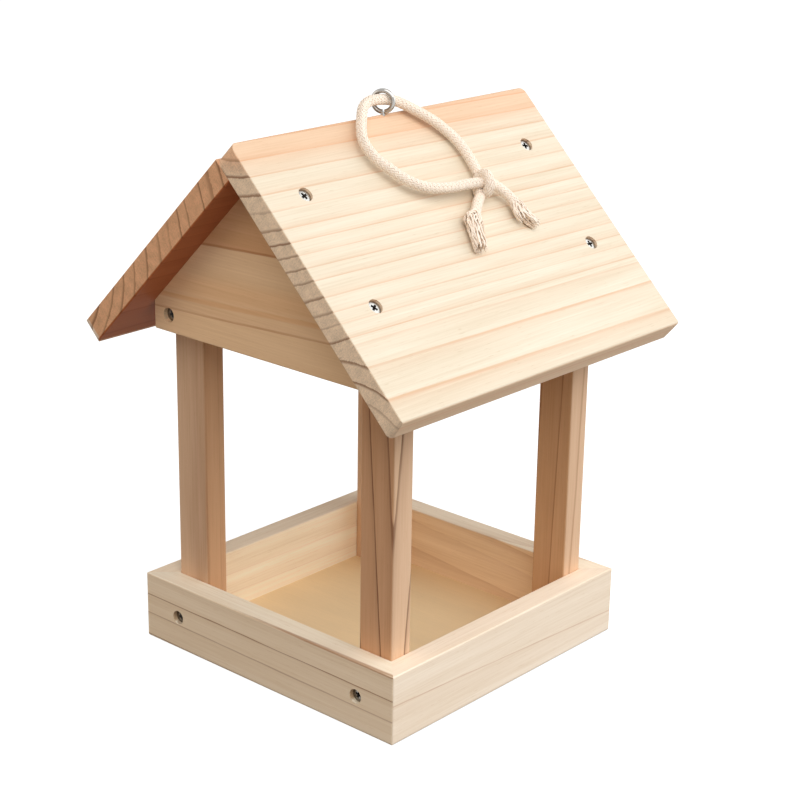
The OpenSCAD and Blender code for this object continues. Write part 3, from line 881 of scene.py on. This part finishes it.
class FEEDER_OT_stage(bpy.types.Operator):
    """Camera, pale floor, three soft lights and white surroundings"""

    bl_idname = "feeder.stage"
    bl_label = "Set the stage"

    # The camera's sensor in millimetres, and the nearest thing that it sees
    SENSOR_WIDTH = 36
    NEAREST = 0.01
    FLOOR_RADIUS = 4
    # The floor's colour for the light that it throws back, and its colour and glow as the camera sees it
    FLOOR_LIT = (0.16, 0.15, 0.14, 1)
    FLOOR_SEEN = (0.30, 0.30, 0.30, 1)
    FLOOR_GLOW = 0.95
    # Direction from the feeder, diameter and tint of each lamp
    LAMPS = {
        "key": ((0.63, -0.25, 0.74), 1.9, (1.0, 1.0, 1.0)),
        "window": ((0.59, 0.72, 0.36), 2.0, (0.92, 0.97, 1.0)),
        "fill": ((-0.45, -0.80, 0.36), 1.2, (1.0, 0.82, 0.62)),
    }
    LAMP_DISTANCE = 1.6
    LAMP_AIM = Vector((0, 0, 0.15))

    def execute(self, context):
        settings = context.scene.feeder_stage
        self.camera(context, settings)
        self.floor()
        for name, (towards, size, tint) in self.LAMPS.items():
            self.lamp(context, name, getattr(settings, name), towards, size, tint)
        self.surroundings(context, settings)
        context.scene.view_settings.view_transform = "Standard"
        return {"FINISHED"}

    def camera(self, context, settings):
        data = bpy.data.cameras.new("camera")
        data.lens = settings.lens
        data.sensor_width = self.SENSOR_WIDTH
        data.clip_start = self.NEAREST
        made = bpy.data.objects.new("camera", data)
        turn = Matrix.Rotation(settings.azimuth, 4, "Z")
        turn = turn @ Matrix.Rotation(math.pi / 2 - settings.elevation, 4, "X")
        turn = turn @ Matrix.Rotation(settings.roll, 4, "Z")
        made.matrix_world = Matrix.Translation(settings.place) @ turn
        context.scene.collection.objects.link(made)
        context.scene.camera = made

    def floor(self):
        clear_selection()
        bpy.ops.mesh.primitive_circle_add(vertices=96, radius=self.FLOOR_RADIUS, fill_type="NGON")
        made = bpy.context.object
        made.name = "floor"
        material, w, shader = new_material("floor")
        shader.inputs["Base Color"].default_value = self.FLOOR_LIT
        shader.inputs["Roughness"].default_value = 0.9
        shown = w.node("BsdfDiffuse", {"Color": self.FLOOR_SEEN})
        glow = w.node("Emission", {"Color": WHITE, "Strength": self.FLOOR_GLOW})
        pale = w.node("AddShader", {0: shown.outputs[0], 1: glow.outputs[0]})
        w.show_apart("Material Output", shader, pale)
        made.data.materials.append(material)

    def lamp(self, context, name, power, towards, size, tint):
        data = bpy.data.lights.new(name, "AREA")
        data.shape = "DISK"
        data.size = size
        data.energy = power
        data.color = tint
        made = bpy.data.objects.new(name, data)
        towards = Vector(towards).normalized()
        made.location = self.LAMP_AIM + towards * self.LAMP_DISTANCE
        made.rotation_euler = towards.to_track_quat("Z", "Y").to_euler()
        context.scene.collection.objects.link(made)

    def surroundings(self, context, settings):
        world = bpy.data.worlds.new("studio")
        context.scene.world = world
        world.use_nodes = True
        w = Wiring(world.node_tree)
        light = world.node_tree.nodes["Background"]
        light.inputs["Color"].default_value = full(settings.sky)
        white = w.node("Background", {"Color": WHITE, "Strength": 1.0})
        w.show_apart("World Output", light, white)


def rope_piece(bundle, name, node, material="cotton_braid"):
    piece = bundle.make(name, bpy.data.materials[material])
    return dress(piece, "rope_loop", "cotton_rope", node)


class FEEDER_OT_rope_knot(bpy.types.Operator):
    """Knot: the near limb runs through a turn of the far limb"""

    bl_idname = "feeder.rope_knot"
    bl_label = "Tie the knot"

    def execute(self, context):
        settings = context.scene.feeder_rope
        cotton("cotton_braid", settings.cotton, settings.seam)
        rope = Rope(settings)
        knot = Bundle()
        braided(knot, rope, "knot_core")
        braided(knot, rope, "knot_wrap")
        rope_piece(knot, "tied_knot", "rope_knot")
        return {"FINISHED"}


class FEEDER_OT_rope_tails(bpy.types.Operator):
    """Two cut ends, braided near the knot and frayed further out"""

    bl_idname = "feeder.rope_tails"
    bl_label = "Fray the tails"

    # How each end comes apart, and the yarns that split away from it
    LEFT = dict(start=12, bulge=0.4, spread=0.5, seed=5)
    LEFT_SPLITS = [(-9, -2.7, -1.0, 23), (2.9, 9, 1.6, 27)]
    RIGHT = dict(start=13, bulge=0.1, spread=0.25, seed=8)
    RIGHT_SPLITS = [(-9, -1.6, -2.6, 25)]

    def execute(self, context):
        settings = context.scene.feeder_rope
        cotton("cotton_fray", settings.fray, settings.fray_crevice_shade)
        rope = Rope(settings)
        for side, shape, splits in (
            ("left", self.LEFT, self.LEFT_SPLITS), ("right", self.RIGHT, self.RIGHT_SPLITS),
        ):
            tail = Bundle()
            Fray(rope, "tail_" + side, **shape).add(tail, splits)
            rope_piece(tail, "frayed_tail_" + side, "rope_tail_" + side, "cotton_fray")
        return {"FINISHED"}


class FEEDER_OT_hanging_rope(bpy.types.Operator):
    """Braided loop from the knot up through the screw eye and back"""

    bl_idname = "feeder.hanging_rope"
    bl_label = "Braid the hanging loop"

    def execute(self, context):
        settings = context.scene.feeder_rope
        rope = Rope(settings)
        loop = Bundle()
        braided(loop, rope, "loop")
        piece = rope_piece(loop, "braided_loop", "hanging_rope")
        path = rope.line[rope.span("loop")]
        return {"FINISHED"}


def faces_up(face):
    return face.normal.z > 0.9


def faces_down(face):
    return face.normal.z < -0.9


def pick_faces(piece, chosen):
    """Selects the faces that chosen picks, in edit mode."""
    bpy.ops.mesh.select_all(action="DESELECT")
    bpy.ops.object.mode_set(mode="OBJECT")
    for face in piece.data.polygons:
        face.select = chosen(face)
    bpy.ops.object.mode_set(mode="EDIT")
    bpy.ops.mesh.select_mode(type="FACE")


def stretch(piece, chosen, rise, scale):
    """Extrudes picked faces along Z and scales them about the Z axis."""
    pick_faces(piece, chosen)
    bpy.ops.mesh.extrude_region_move(TRANSFORM_OT_translate={"value": (0, 0, rise)})
    bpy.ops.transform.resize(value=(scale, scale, 1), center_override=(0, 0, 0))


# A screw's point: its length, and its end's width as a share of the shank's
POINT = 4 * MM
POINT_END = 0.04


def pointed_rod(name, sides, radius, top, bottom):
    """A rod along Z with a point below its bottom, left in edit mode."""
    clear_selection()
    bpy.ops.mesh.primitive_cylinder_add(
        vertices=sides, radius=radius, depth=top - bottom, location=(0, 0, (top + bottom) / 2)
    )
    rod = bpy.context.object
    rod.name = name
    bpy.ops.object.transform_apply(location=True)
    bpy.ops.object.mode_set(mode="EDIT")
    stretch(rod, faces_down, -POINT, POINT_END)
    return rod


def smooth_up_to(piece, angle):
    """Smooth shading, but for edges sharper than an angle in degrees."""
    select(piece)
    bpy.ops.object.shade_smooth_by_angle(angle=math.radians(angle))


class FEEDER_OT_screws(bpy.types.Operator):
    """Countersunk wood screws with cross recesses, driven into the tray, the gables and the roof"""

    bl_idname = "feeder.screws"
    bl_label = "Drive the screws"

    ROOF_LENGTH = 25 * MM
    FRAME_LENGTH = 20 * MM
    ROOF_RECESS = 1.2 * MM
    FRAME_RECESS = 2.2 * MM
    SIDES = 48
    RIM = 0.3 * MM
    RIM_BEVEL = 0.12 * MM
    CROSS_SPAN = 5.0 * MM
    CROSS_ARM = 1.5 * MM
    CROSS_DEPTH = 1.5 * MM
    CROSS_TAPER = (0.4, 0.6, 1)
    # Degrees that the first cross is turned, and each next one more than the last
    FIRST_TURN = 20
    NEXT_TURN = 53
    # Places in millimetres: down a slope and along the ridge, or sideways, forwards and up from the middle
    ROOF_DOWN = (32, 91)
    ROOF_ALONG = (-77, 77)
    FRAME_PLACES = {"tray_screws_": (60, 83, 17.5), "gable_screws_": (61.5, 83, 173.5)}

    def execute(self, context):
        settings = context.scene.feeder_metal
        steel = metal("screw_steel", settings.steel, roughness=0.24)
        # The frame screws sit deep in their holes, so their steel is a darker copy: painted shade
        sunk_steel_shade = metal("dull_steel", settings.sunk_steel_shade, roughness=0.24)
        # The cross recesses get a near black metal, painted shade for their hollows
        self.painted_recess_shade = metal("recess_grime", settings.painted_recess_shade, roughness=0.6)
        roof_screw = self.model("roof_screw", settings, self.ROOF_LENGTH, steel)
        frame_screw = self.model("frame_screw", settings, self.FRAME_LENGTH, sunk_steel_shade)
        for side, down, out in (("right", RIGHT_DOWN, RIGHT_OUT), ("left", LEFT_DOWN, LEFT_OUT)):
            places = [
                RIDGE_PEAK + down * slope * MM + ALONG_RIDGE * along * MM
                for slope in self.ROOF_DOWN
                for along in self.ROOF_ALONG
            ]
            self.drive(roof_screw, "roof_screws_" + side, places, out, self.ROOF_RECESS)
        for face, name in ((-1, "front"), (1, "back")):
            for node, (x, y, z) in self.FRAME_PLACES.items():
                places = [Vector((side * x, face * y, z)) * MM for side in (-1, 1)]
                self.drive(frame_screw, node + name, places, ALONG_RIDGE * face, self.FRAME_RECESS)
        for pattern in (roof_screw, frame_screw):
            bpy.data.objects.remove(pattern)
        return {"FINISHED"}

    def model(self, name, settings, long, steel):
        """One screw along Z, with the top of its head at the origin."""
        head, shank = settings.head / 2, settings.shank / 2
        cone = head - shank
        screw = pointed_rod(name, self.SIDES, shank, -self.RIM - cone, POINT - long)
        stretch(screw, faces_up, cone, head / shank)
        stretch(screw, faces_up, self.RIM, 1.0)
        pick_faces(screw, faces_up)
        bpy.ops.mesh.bevel(offset=self.RIM_BEVEL, segments=3, affect="EDGES")
        bpy.ops.object.mode_set(mode="OBJECT")
        screw.data.materials.append(steel)
        for turn in (0, math.pi / 2):
            self.cut(screw, self.cutter(turn))
        smooth_up_to(screw, angle=35)
        return screw

    def cutter(self, turn):
        """One arm of the cross, narrower towards its bottom."""
        clear_selection()
        bpy.ops.mesh.primitive_cube_add(size=1)
        arm = bpy.context.object
        arm.scale = (self.CROSS_SPAN, self.CROSS_ARM, 2 * self.CROSS_DEPTH)
        bpy.ops.object.transform_apply(scale=True)
        bpy.ops.object.mode_set(mode="EDIT")
        pick_faces(arm, faces_down)
        bpy.ops.transform.resize(value=self.CROSS_TAPER, center_override=(0, 0, 0))
        bpy.ops.object.mode_set(mode="OBJECT")
        # The faces that the arm cuts into the head take this painted shade
        arm.data.materials.append(self.painted_recess_shade)
        arm.rotation_euler.z = turn
        bpy.ops.object.transform_apply(rotation=True)
        return arm

    def cut(self, screw, arm):
        recess = screw.modifiers.new("recess", "BOOLEAN")
        recess.operation, recess.solver, recess.object = "DIFFERENCE", "EXACT", arm
        recess.material_mode = "TRANSFER"
        select(screw)
        bpy.ops.object.modifier_apply(modifier=recess.name)
        bpy.data.objects.remove(arm)

    def drive(self, pattern, node, places, out, recess):
        """Copies a screw to each place, turned a little further each time, and joins the copies."""
        copies = []
        for number, place in enumerate(places):
            screw = bpy.data.objects.new(node, pattern.data.copy())
            bpy.context.scene.collection.objects.link(screw)
            turn = out.to_track_quat("Z", "Y").to_matrix().to_4x4()
            spin = Matrix.Rotation(math.radians(self.FIRST_TURN + self.NEXT_TURN * number), 4, "Z")
            screw.matrix_world = Matrix.Translation(place - out * recess) @ turn @ spin
            copies.append(screw)
        select(*copies)
        bpy.ops.object.transform_apply(location=True, rotation=True, scale=True)
        bpy.ops.object.join()
        copies[0].name = "driven_" + node
        dress(copies[0], "house", "screw_steel", node)


class FEEDER_OT_screw_eye(bpy.types.Operator):
    """Bent wire ring with its shank in the ridge"""

    bl_idname = "feeder.screw_eye"
    bl_label = "Bend the screw eye"

    # Turn of the ring about its shank, width of the slit in the ring, and its place along the ridge
    TURN = math.radians(28)
    SLIT = math.radians(12)
    PLACE_ALONG = -3 * MM
    WIRE_SIDES = 20
    RING_STEPS = 72

    def execute(self, context):
        settings = context.scene.feeder_metal
        low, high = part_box("screw_eye")
        wire = settings.wire / 2
        ring = settings.eye / 2 - wire
        centre = Vector((0, self.PLACE_ALONG, high.z - settings.eye / 2))
        clear_selection()
        bpy.ops.mesh.primitive_circle_add(
            vertices=self.WIRE_SIDES, radius=wire, location=(0, 0, -ring), rotation=(0, math.pi / 2, 0)
        )
        eye = bpy.context.object
        eye.name = "bent_screw_eye"
        bpy.ops.object.transform_apply(location=True, rotation=True)
        bpy.ops.object.mode_set(mode="EDIT")
        bpy.ops.mesh.select_all(action="SELECT")
        bpy.ops.mesh.spin(
            steps=self.RING_STEPS, angle=math.tau - self.SLIT, center=(0, 0, 0), axis=(0, -1, 0)
        )
        bpy.ops.mesh.select_all(action="SELECT")
        bpy.ops.mesh.remove_doubles(threshold=1e-6)
        bpy.ops.mesh.fill_holes(sides=0)
        bpy.ops.mesh.normals_make_consistent(inside=False)
        shank = pointed_rod("eye_shank", self.WIRE_SIDES, wire, -ring, low.z + POINT - centre.z)
        select(eye, shank)
        bpy.ops.object.join()
        eye.matrix_world = Matrix.Translation(centre) @ Matrix.Rotation(self.TURN, 4, "Z")
        bpy.ops.object.transform_apply(location=True, rotation=True)
        smooth_up_to(eye, angle=40)
        eye.data.materials.append(metal("eye_nickel", settings.nickel, roughness=0.12))
        dress(eye, "house", "eye_nickel", "screw_eye")
        return {"FINISHED"}


class FEEDER_OT_tray(bpy.types.Operator):
    """Pine for the four mitred walls of the tray"""

    bl_idname = "feeder.tray"
    bl_label = "Finish the tray"

    def execute(self, context):
        early = Vector(context.scene.feeder_wood.tray)
        walls = {
            "tray_front_wall": dict(
                early=early * Vector((1.02, 0.98, 0.94)), grain=(1, 0, 0), pith=(-70, -30),
                lean=(-0.006, 0), marks=[57, 64.9, 75, 84.1, 95, 104], late=(0.40, 0.20, 0.10),
                # Painted light: the top face is made paler, as if lit more from above
                strength=1.0, softness=0.12, line_share=0.09, tints=[(facing(UP), (1.04, 1.15, 1.25))],
            ),
            "tray_back_wall": dict(
                early=early * Vector((0.98, 0.87, 0.76)), grain=(-1, 0, 0), pith=(-60, 40),
                lean=(0.09, 0), marks=[58, 70, 82, 91, 110], strength=0.5, softness=0.75,
                # Painted light: the top face is made paler than the rest of this darker wall
                tints=[(facing(UP), (1.06, 1.22, 1.42))],
            ),
            "tray_left_wall": dict(
                early=early * Vector((1.04, 1.05, 1.06)), grain=(0, -1, 0), pith=(90, -20),
                # Painted light: the inner face, which looks right, is made a little paler
                lean=(0.02, 0), spacing=12.0, strength=0.25, tints=[(facing(RIGHT), (1.04, 1.06, 1.04))],
            ),
            "tray_right_wall": dict(
                early=early * Vector((1.02, 1.02, 1.06)), grain=(0, 1, 0), pith=(-90, 50),
                lean=(-0.05, 0), marks=[78, 99.2, 135], late=(0.62, 0.34, 0.19), softness=0.1,
                line_share=0.04,
            ),
        }
        for node, cut in walls.items():
            clad(node, across=UP, origin=middle(node), **cut)
        return {"FINISHED"}


class FEEDER_OT_floor(bpy.types.Operator):
    """Plywood for the floor panel and steel for its pins"""

    bl_idname = "feeder.floor"
    bl_label = "Finish the floor"

    def execute(self, context):
        veneer = context.scene.feeder_wood.plywood
        steel = context.scene.feeder_metal.steel
        set_material("floor_panel", plywood("floor_panel", veneer, middle("floor_panel")))
        set_material("floor_pins", metal("pin_steel", steel, roughness=0.35))
        return {"FINISHED"}


class FEEDER_OT_posts(bpy.types.Operator):
    """Pine for the four posts"""

    bl_idname = "feeder.posts"
    bl_label = "Finish the posts"

    def execute(self, context):
        early = context.scene.feeder_wood.post
        posts = {
            "post_front_right": dict(
                pith=(-96, 72), lean=(-0.046, 0.035), spacing=7.6, phase=0.67, strength=1.0,
                late=(0.16, 0.055, 0.022), softness=0.3, line_share=0.2,
                # Painted shade: the front face is made darker and redder
                tints=[(facing(FRONT), (0.84, 0.70, 0.59))],
            ),
            "post_front_left": dict(
                pith=(-20, 150), lean=(0.01, 0.0), spacing=8.0, strength=0.5,
                # Painted shade: the right face is made darker
                tints=[(facing(RIGHT), (0.85, 0.76, 0.66))],
            ),
            "post_back_left": dict(pith=(60, -90), lean=(0.02, 0.02), spacing=8.0, strength=0.5),
            "post_back_right": dict(
                pith=(-80, -60), lean=(0.04, -0.02), spacing=9.0, strength=0.75,
                # Painted shade: the front face is made darker
                tints=[(facing(FRONT), (0.84, 0.72, 0.58))],
            ),
        }
        for node, cut in posts.items():
            cut = {"late": (0.38, 0.17, 0.08), "softness": 0.2, **cut}
            clad(node, grain=UP, across=RIGHT, origin=middle(node), early=early, **cut)
        return {"FINISHED"}


class FEEDER_OT_gables(bpy.types.Operator):
    """Pine for the two gable boards"""

    bl_idname = "feeder.gables"
    bl_label = "Finish the gables"

    # Late wood and the heart's edge, in millimetres from the pith
    MARKS = [50, 81.8, 112.8, 140]
    HEART = 81.8
    # Soft redder bands between the late wood: from, to and the width of their edges
    BROAD_BAND = (99, 101, 7)
    NARROW_BAND = (105.5, 106.5, 1.2)

    def execute(self, context):
        early = context.scene.feeder_wood.gable
        gables = {
            "gable_front": dict(grain=(1, 0, 0), pith=(120, -40), lean=(0.05, 0)),
            "gable_back": dict(grain=(-1, 0, 0), pith=(120, -40), lean=(-0.04, 0)),
        }
        for node, cut in gables.items():
            low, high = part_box(node)
            foot = Vector((0, low.y if node == "gable_front" else high.y, low.z))
            tints = [
                # Redder heartwood near the top, darkened further as painted shade from the roof's overhang
                (heartwood(self.HEART, blend=1), (0.90, 0.78, 0.68)),
                (band(*self.BROAD_BAND), (0.98, 0.91, 0.84)),
                (band(*self.NARROW_BAND), (0.94, 0.84, 0.75)),
            ]
            clad(
                node, across=UP, origin=foot, early=early, marks=self.MARKS, late=(0.54, 0.22, 0.09),
                strength=1.0, softness=0.14, line_share=0.05, tints=tints, **cut,
            )
        return {"FINISHED"}


class FEEDER_OT_roof(bpy.types.Operator):
    """Pine for the two roof boards"""

    bl_idname = "feeder.roof"
    bl_label = "Finish the roof"

    # Late wood of the right board and the edges of its heart, in millimetres from the pith
    RIGHT_MARKS = [
        77.5, 85, 92.4, 99.5, 107.9, 115.6, 123.7, 129.9, 135.9, 142, 148, 156, 163, 168.6, 175.4, 183,
        190, 198,
    ]
    RIGHT_HEART = 92.4
    RIGHT_HEART_FADE = 101
    # The board is glued up from two staves, and each has its own pith
    RIGHT_PITH = Vector((0, -64, 53))
    RIGHT_STAVE_PITH = Vector((-300, 157, -44))
    STAVE_OFFSET = 51.5
    GLUE_LINE = 105
    # Depth below its top at which painted shade darkens the left board, and where down the slope that shade
    # ends
    LEFT_SHADE_DEPTH = 11
    LEFT_SHADE_END = 142
    # Where down the slope the left board's front end turns pale
    LEFT_PALE_TIP = 140.5
    # Lines of the years on both boards' ends
    END_LINE = (0.28, 0.13, 0.065)

    def execute(self, context):
        wood = context.scene.feeder_wood
        clad(
            "roof_board_right", grain=FRONT, across=RIGHT_DOWN, origin=RIDGE_PEAK, early=wood.roof_right,
            pith=self.RIGHT_PITH.yz, lean=(-0.015, 0), wander=0.35, marks=self.RIGHT_MARKS,
            late=(0.70, 0.42, 0.25), softness=0.38, line_share=0.14,
            end_tone=(0.91, 0.69, 0.49), end_line=self.END_LINE,
            glue_line=self.GLUE_LINE, stave_shift=self.RIGHT_PITH - self.RIGHT_STAVE_PITH,
            stave_offset=self.STAVE_OFFSET, tints=[
                (heartwood(self.RIGHT_HEART, blend=0.4, end=self.GLUE_LINE), (1.0, 0.94, 0.89)),
                (heartwood(self.RIGHT_HEART_FADE, blend=9, end=self.GLUE_LINE), (1.0, 0.86, 0.79)),
                # Painted light: the eave face is tinted warmer, for the warm light that reaches it from below
                (facing(RIGHT_DOWN), (1.15, 0.96, 0.84)),
            ],
        )
        clad(
            "roof_board_left", grain=ALONG_RIDGE, across=LEFT_DOWN, origin=RIDGE_PEAK, early=wood.roof_left,
            pith=(155, 55), spacing=8.6, wander=1.0, end_tone=(0.80, 0.44, 0.245), end_line=self.END_LINE,
            # The first tint is painted shade on the board's underside
            tints=[(self.painted_underside_shade, (0.58, 0.31, 0.19)), (self.pale_tip, (1.15, 1.65, 2.3))],
        )
        return {"FINISHED"}

    def painted_underside_shade(self, w, place, distance):
        """Painted shade on the left board's underside, but for a band along its eave."""
        parts = w.parts(place)
        under = w.fall(parts["Z"], -self.LEFT_SHADE_DEPTH - 0.5, -self.LEFT_SHADE_DEPTH)
        return w.times(under, w.fall(parts["Y"], self.LEFT_SHADE_END - 1, self.LEFT_SHADE_END))

    def pale_tip(self, w, place, distance):
        """The last few millimetres of the left board's front end."""
        tip = w.rise(w.parts(place)["Y"], self.LEFT_PALE_TIP - 1, self.LEFT_PALE_TIP)
        return w.times(tip, facing(FRONT)(w, place, distance))


class FEEDER_PT_panel(bpy.types.Panel):
    """Settings and steps of the bird feeder house"""

    bl_idname = "FEEDER_PT_panel"
    bl_label = "Bird Feeder House"
    bl_space_type = "VIEW_3D"
    bl_region_type = "UI"
    bl_category = "Bird Feeder"

    def draw(self, context):
        for name, group in SETTINGS.items():
            box = self.layout.box()
            for prop in group.__annotations__:
                box.prop(getattr(context.scene, name), prop)
        for step in STEPS:
            self.layout.operator(step.bl_idname)


# The steps in the order that they are run
STEPS = (
    FEEDER_OT_stage,
    FEEDER_OT_screws,
    FEEDER_OT_screw_eye,
    FEEDER_OT_rope_knot,
    FEEDER_OT_rope_tails,
    FEEDER_OT_hanging_rope,
    FEEDER_OT_tray,
    FEEDER_OT_floor,
    FEEDER_OT_posts,
    FEEDER_OT_gables,
    FEEDER_OT_roof,
)


def register():
    for made in (*SETTINGS.values(), *STEPS, FEEDER_PT_panel):
        bpy.utils.register_class(made)
    for name, group in SETTINGS.items():
        setattr(bpy.types.Scene, name, PointerProperty(type=group))


def unregister():
    for name in SETTINGS:
        delattr(bpy.types.Scene, name)
    for made in (FEEDER_PT_panel, *reversed(STEPS), *reversed(SETTINGS.values())):
        bpy.utils.unregister_class(made)


def main():
    register()
    growth_rings()
    pine_figure()
    for step in STEPS:
        area, name = step.bl_idname.split(".")
        getattr(getattr(bpy.ops, area), name)()


if __name__ == "__main__":
    main()
